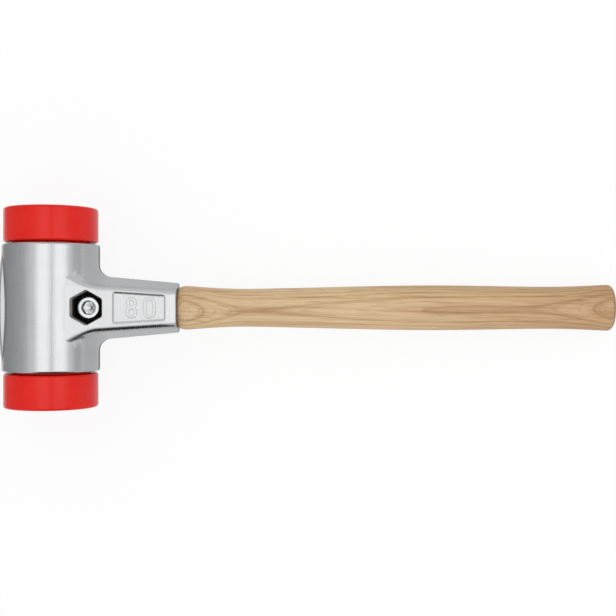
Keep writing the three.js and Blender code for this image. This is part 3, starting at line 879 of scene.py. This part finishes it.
def thread(height, outside):
    """Radius of a right-hand thread at a height, for each angle."""
    turn = (height / PITCH - round_angles / (2 * math.pi)) % 1
    return outside - THREAD_DEPTH * np.clip(FLANK_SLOPE * np.abs(2 * turn - 1) - CREST_FLAT, 0, 1)


print(f"thread pitch {PITCH} mm, {ROUND_STEPS} points a ring")

# %% [markdown]
# ### From the tip to the key socket
# The stack of rings starts at the tip of the thread, climbs the shank, goes out under the head, up its
# knurled side and in over the rim, and ends in the drilled cone below the key socket. The rim of the socket
# is chamfered by a cone, so its edge dips in the middle of each flat. Each stretch is a short list of
# distances from the axis and heights over the seat.

# %% Rings of the screw
SCREW_RADIUS, SCREW_LENGTH, THREAD_LENGTH = 6, 35, 26
CORE_RADIUS, THREAD_START, START_RUN, END_RUN, END_SHARE = 5, 0.7, 1.6, 2, 0.3
HEAD_RADIUS, HEAD_HEIGHT, HEAD_CHAMFER, HEAD_INSET = 9.15, 12, 0.35, 0.1
KNURL_DEPTH, KNURL_RIDGES, KNURL_LEVELS = 0.16, 24, (1.1, 4, 7, 9.6)
SOCKET_ACROSS, SOCKET_DEPTH = 10, 6
RIM_RADIUS, RIM_BEVEL, RIM_SLOPE = 6.1, 0.12, 0.6

side, key_floor = HEAD_RADIUS - HEAD_INSET, HEAD_HEIGHT - SOCKET_DEPTH
knurled = HEAD_RADIUS - KNURL_DEPTH * np.abs(np.sin(KNURL_RIDGES * round_angles))
key = hexagon_radius(SOCKET_ACROSS, math.pi / 6)
rim = np.maximum(key + 0.15, RIM_RADIUS)

tip = [(4.6, -SCREW_LENGTH), (4.9, -SCREW_LENGTH + 0.3)]
threaded = []
thread_from, thread_to = THREAD_START - SCREW_LENGTH, THREAD_LENGTH - SCREW_LENGTH
for height in np.arange(thread_from, thread_to, PITCH / STEPS_PER_PITCH):
    run_in = (height + SCREW_LENGTH) / START_RUN
    run_out = (thread_to - height) / END_RUN + END_SHARE
    full = thread(height, SCREW_RADIUS) - CORE_RADIUS
    threaded.append((CORE_RADIUS + full * min(1, run_in, run_out), height))
shank = [(5.9, -8.6), (5.95, -0.8), (6.2, -0.35), (6.9, 0), (8.7, 0)]
head = [(side, 0.35), (side, 0.9), *[(knurled, level) for level in KNURL_LEVELS], (side, 9.8),
        (side, HEAD_HEIGHT - HEAD_CHAMFER), (HEAD_RADIUS - 0.2, HEAD_HEIGHT - 0.1),
        (HEAD_RADIUS - HEAD_CHAMFER, HEAD_HEIGHT)]
key_socket = [(rim + 0.25, HEAD_HEIGHT), (rim, HEAD_HEIGHT - RIM_BEVEL),
              (key + 0.02, HEAD_HEIGHT - RIM_BEVEL - (rim - key) * RIM_SLOPE),
              (key, HEAD_HEIGHT - 1.6), (key, key_floor + 0.25), (key * 0.965, key_floor),
              (4.2, key_floor - 0.1), (1.2, key_floor - 1.5), (0.3, key_floor - 1.7)]
rings = [ring_at(*spot) for spot in (*tip, *threaded, *shank, *head, *key_socket)]
print(f"the screw has {len(rings)} rings")

# %% [markdown]
# ### Painted shade in the pocket
# The screw stands on its washer at the bottom of the pocket. Its outside is painted darker with the depth
# below the plate, by the same soft fade as the castings, and the walls of the key socket are painted dark:
# both are painted shade. Edges that bend by more than an angle of 38 degrees stay sharp, all others are
# shaded smooth.

# %% Make the screw
WASHER_HEIGHT = 2.5
ZINC_UNSHADED, ZINC_DARK, KEY_WALL_SHADE = 10, 14, 0.8
SHARP_EDGE = math.radians(38)

screw_seat = CLAMP_FLOOR + SEAT + WASHER_HEIGHT + SEAT
screw_points, screw_faces = skin(np.array(rings) + (SCREW_X, 0, screw_seat))
screw = make_piece("socket_screw", screw_points, screw_faces, zinc, "screw", "zinc_steel", "clamp_screw")
from_axis = np.hypot(screw_points[:, 0] - SCREW_X, screw_points[:, 1])
above_seat = screw_points[:, 2] - screw_seat
outside = (from_axis > HEAD_RADIUS - 0.5) | (above_seat < 0)
in_key = (above_seat > key_floor + 0.1) & (above_seat < HEAD_HEIGHT - 0.2)
key_wall = (from_axis < SCREW_RADIUS) & in_key
sunk = fade(-outer_form(*screw_points.T), ZINC_UNSHADED, ZINC_DARK)
# Painted shade: darker with the depth below the plate, and dark on the walls of the key socket.
note(screw, "grime", np.where(outside, sunk, KEY_WALL_SHADE * key_wall))
screw.data.set_sharp_from_angle(angle=SHARP_EDGE)

# %% [markdown]
# ## Washer and nut
# Both are rings that close on themselves. The washer is stamped, so its upper edge is slightly rounded.
# The nut's corners are cut back by a cone on both ends, which leaves the curved edges that every nut has:
# where the cone meets a flat, the height depends on the distance of that point from the axis.

# %% Make the washer and the nut
WASHER_RADIUS, WASHER_HOLE = 12, 6.6
NUT_ACROSS, NUT_HEIGHT, NUT_BORE = 18, 10.8, 6.3
NUT_FACE_SHARE, NUT_CONE = 0.97, math.radians(30)
NUT_LEAD, NUT_GROOVE, NUT_PLAIN = 0.6, 0.7, 1.2

washer = [(WASHER_HOLE, 0.2), (WASHER_HOLE + 0.2, 0), (WASHER_RADIUS - 0.2, 0), (WASHER_RADIUS, 0.2),
          (WASHER_RADIUS, WASHER_HEIGHT - 0.6), (WASHER_RADIUS - 0.2, WASHER_HEIGHT - 0.18),
          (WASHER_RADIUS - 0.6, WASHER_HEIGHT), (WASHER_HOLE + 0.4, WASHER_HEIGHT),
          (WASHER_HOLE, WASHER_HEIGHT - 0.3)]
washer_rings = np.array([ring_at(*at) for at in washer]) + (SCREW_X, 0, CLAMP_FLOOR + SEAT)
washer_points, washer_faces = skin(washer_rings, loop=True)
plain = make_piece("plain_washer", washer_points, washer_faces, zinc,
                   "front_half", "zinc_steel", "screw_washer")
# Painted shade: darker with the depth below the plate.
note(plain, "grime", fade(-outer_form(*washer_points.T), ZINC_UNSHADED, ZINC_DARK))
plain.data.set_sharp_from_angle(angle=SHARP_EDGE)

flats = hexagon_radius(NUT_ACROSS)
end_ring = NUT_ACROSS / 2 * NUT_FACE_SHARE
cone = (flats - end_ring) * math.tan(NUT_CONE)
rings = [ring_at(NUT_BORE + NUT_LEAD, 0), ring_at(end_ring, 0), ring_at(flats, cone),
         ring_at(flats, NUT_HEIGHT / 2), ring_at(flats, NUT_HEIGHT - cone), ring_at(end_ring, NUT_HEIGHT),
         ring_at(NUT_BORE + NUT_LEAD, NUT_HEIGHT), ring_at(NUT_BORE, NUT_HEIGHT - NUT_LEAD)]
for height in np.arange(NUT_HEIGHT - NUT_LEAD - 0.2, NUT_LEAD + 0.1, -PITCH / STEPS_PER_PITCH):
    inside = NUT_PLAIN < height < NUT_HEIGHT - NUT_PLAIN
    groove = thread(height, NUT_BORE + NUT_GROOVE) if inside else NUT_BORE
    rings.append(ring_at(np.maximum(groove, NUT_BORE - 0.1), height))
rings.append(ring_at(NUT_BORE, NUT_LEAD))
nut_rings = np.array(rings) + (SCREW_X, 0, -CLAMP_FLOOR - SEAT - NUT_HEIGHT)
nut = make_piece("hexagon_nut", *skin(nut_rings, loop=True), zinc, "rear_half", "zinc_steel", "clamp_nut")
nut.data.set_sharp_from_angle(angle=SHARP_EDGE)

# %% [markdown]
# ## The floor
# The hammer lies on a white floor. For the camera and for reflections the floor glows a little, which
# keeps it white and still lets the hammer's shadow show; for all other light it is plain white paint.

# %% Floor
FLOOR_GLOW = 0.88
FLOOR_HALF, FLOOR_LEVEL = 30, -0.0004


def seen_directly(tree):
    """1 for what the camera sees, directly or in a reflection or through glass."""
    rays = add(tree, "LightPath").outputs
    seen = add(tree, "Math", {0: rays["Is Camera Ray"], 1: rays["Is Glossy Ray"]}, operation="MAXIMUM")
    return add(tree, "Math", {0: seen.outputs["Value"], 1: rays["Is Transmission Ray"]},
               operation="MAXIMUM").outputs["Value"]


def level_corners(x_from, x_to, y_from, y_to, height):
    return [(x_from, y_from, height), (x_to, y_from, height), (x_to, y_to, height), (x_from, y_to, height)]


def set_up(name, corners, finish):
    """A flat four-cornered sheet that belongs to the stage."""
    mesh = bpy.data.meshes.new(name)
    mesh.from_pydata(corners, [], [(0, 1, 2, 3)])
    mesh.materials.append(finish)
    sheet = bpy.data.objects.new(name, mesh)
    scene.collection.objects.link(sheet)
    sheet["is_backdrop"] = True
    return sheet


floor_finish, shader = new_finish("white_floor", Base_Color=(0.9, 0.9, 0.9, 1), Roughness=0.9,
                                  Specular_IOR_Level=0)
tree = floor_finish.node_tree
glow = add(tree, "Emission")
share = add(tree, "Math", {0: seen_directly(tree), 1: FLOOR_GLOW}, operation="MULTIPLY")
blend = add(tree, "MixShader", {0: share.outputs["Value"], 1: shader.outputs["BSDF"],
                                2: glow.outputs["Emission"]})
tree.links.new(blend.outputs["Shader"], tree.nodes["Material Output"].inputs["Surface"])
set_up("floor", level_corners(-FLOOR_HALF, FLOOR_HALF, -FLOOR_HALF, FLOOR_HALF, FLOOR_LEVEL), floor_finish)
print("floor laid")

# %% [markdown]
# ## Soft boxes and room light
# Two soft boxes hang over the hammer, one on each side of the camera, and leave a slightly darker strip
# between them: that is what draws the paired bright bands on the barrel. Their places along X are counted
# from the head. White room light fills the rest.

# %% Soft boxes and room light
BOX_HEIGHT, BOX_REACH, BOX_BRIGHTNESS = 1.05, 0.45, 0.66
LEFT_BOX, RIGHT_BOX = (-0.30, 0.235), (0.40, 1.36)
ROOM_BRIGHTNESS = 0.86


def soft_box(name, x_from, x_to, y_half):
    """A rectangle of light that faces down, of one brightness whatever its size."""
    width, length = (x_to - x_from), 2 * y_half
    light = bpy.data.lights.new(name, "AREA")
    light.shape = "RECTANGLE"
    light.size, light.size_y = width, length
    light.energy = BOX_BRIGHTNESS * 4 * width * length
    lamp = bpy.data.objects.new(name, light)
    lamp.location = ((x_from + x_to) / 2, 0, BOX_HEIGHT)
    scene.collection.objects.link(lamp)


head_x = face_spot[0]
for name, (start, end) in (("left_soft_box", LEFT_BOX), ("right_soft_box", RIGHT_BOX)):
    soft_box(name, head_x + start, head_x + end, BOX_REACH)
world = bpy.data.worlds.new("room")
scene.world = world
world.use_nodes = True
tree = world.node_tree
level = add(tree, "MapRange", {"Value": seen_directly(tree), "To Min": ROOM_BRIGHTNESS, "To Max": 1.0})
tree.links.new(level.outputs["Result"], tree.nodes["Background"].inputs["Strength"])
tree.nodes["Background"].inputs["Color"].default_value = (1, 1, 1, 1)
print("two soft boxes and a white room")

# %% [markdown]
# ### Cards that shape reflections
# Satin metal shows whatever stands round it, so a photographer sets up cards just outside the picture: a
# black one below it, which draws the dark line under the lower edge of the plate, a pale one far off on the
# right, a grey mat round the hammer that keeps its flanks from glaring, and the arm of the camera between
# the soft boxes. Only reflections find them, so they throw no shadow.

# %% Cards
BLACK_X, BLACK_Y, BLACK_TOP, BLACK = (-0.10, 0.21), -0.30, 0.40, 0.01
PALE_X, PALE_HALF, PALE_TOP, PALE_GREY = 1.80, 1.5, 0.75, 0.7
MAT_X, MAT_Y, MAT_LEVEL, MAT_GREY = (-0.07, 0.40), (-0.29, 0.35), 0.0002, 0.79
ARM_X, ARM_HEIGHT, ARM_GREY = (0.24, 0.395), 1.0, 0.86


def card(name, corners, grey):
    """A flat card that only reflections find; its grey can be changed on the node that comes back."""
    finish = bpy.data.materials.new(name)
    finish.use_nodes = True
    tree = finish.node_tree
    paint = add(tree, "Emission", {"Strength": grey})
    tree.links.new(paint.outputs["Emission"], tree.nodes["Material Output"].inputs["Surface"])
    sheet = set_up(name, corners, finish)
    for ray in ("camera", "diffuse", "transmission", "volume_scatter", "shadow"):
        setattr(sheet, "visible_" + ray, False)
    return tree, paint


def from_head(span):
    return [head_x + x for x in span]


def upright_corners(x_from, x_to, y_from, y_to, foot, top):
    return [(x_from, y_from, foot), (x_to, y_to, foot), (x_to, y_to, top), (x_from, y_from, top)]


card("black_card", upright_corners(*from_head(BLACK_X), BLACK_Y, BLACK_Y, 0, BLACK_TOP), BLACK)
pale_corners = upright_corners(*from_head((PALE_X, PALE_X)), -PALE_HALF, PALE_HALF, 0, PALE_TOP)
card("pale_card", pale_corners, PALE_GREY)
card("grey_mat", level_corners(*from_head(MAT_X), *MAT_Y, MAT_LEVEL), MAT_GREY)
card("camera_arm", level_corners(*from_head(ARM_X), -BOX_REACH, BOX_REACH, ARM_HEIGHT), ARM_GREY)
print("four cards set up")

# %% [markdown]
# ### A card that fades
# The card close to the head on the left is darker towards its foot, where it stands in the hammer's own
# shade. Its grey follows the height, read from the object's own coordinates.

# %% Fading card
FADE_X, FADE_HALF = -0.08, 0.13
FADE_FOOT, FADE_TOP = 0.03, 0.172
FOOT_GREY, TOP_GREY = 0.36, 0.76

fade_corners = upright_corners(*from_head((FADE_X, FADE_X)), -FADE_HALF, FADE_HALF, FADE_FOOT, FADE_TOP)
tree, paint = card("grey_card", fade_corners, TOP_GREY)
height = add(tree, "SeparateXYZ", {0: add(tree, "TexCoord").outputs["Object"]}).outputs["Z"]
fading = add(tree, "MapRange", {"Value": height, "From Min": FADE_FOOT, "From Max": FADE_TOP,
              "To Min": FOOT_GREY, "To Max": TOP_GREY})
tree.links.new(fading.outputs["Result"], paint.inputs["Strength"])
print("and one that fades")

# %% [markdown]
# ## Sizes
# Both boxes are printed, the measured hammer's and the dressed one's.

# %% Print both sizes
seen_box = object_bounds()
for label, (low, high) in (("measured", cad_box), ("dressed", seen_box)):
    print(label, [round(1000 * (b - a), 1) for a, b in zip(low, high)], "mm")
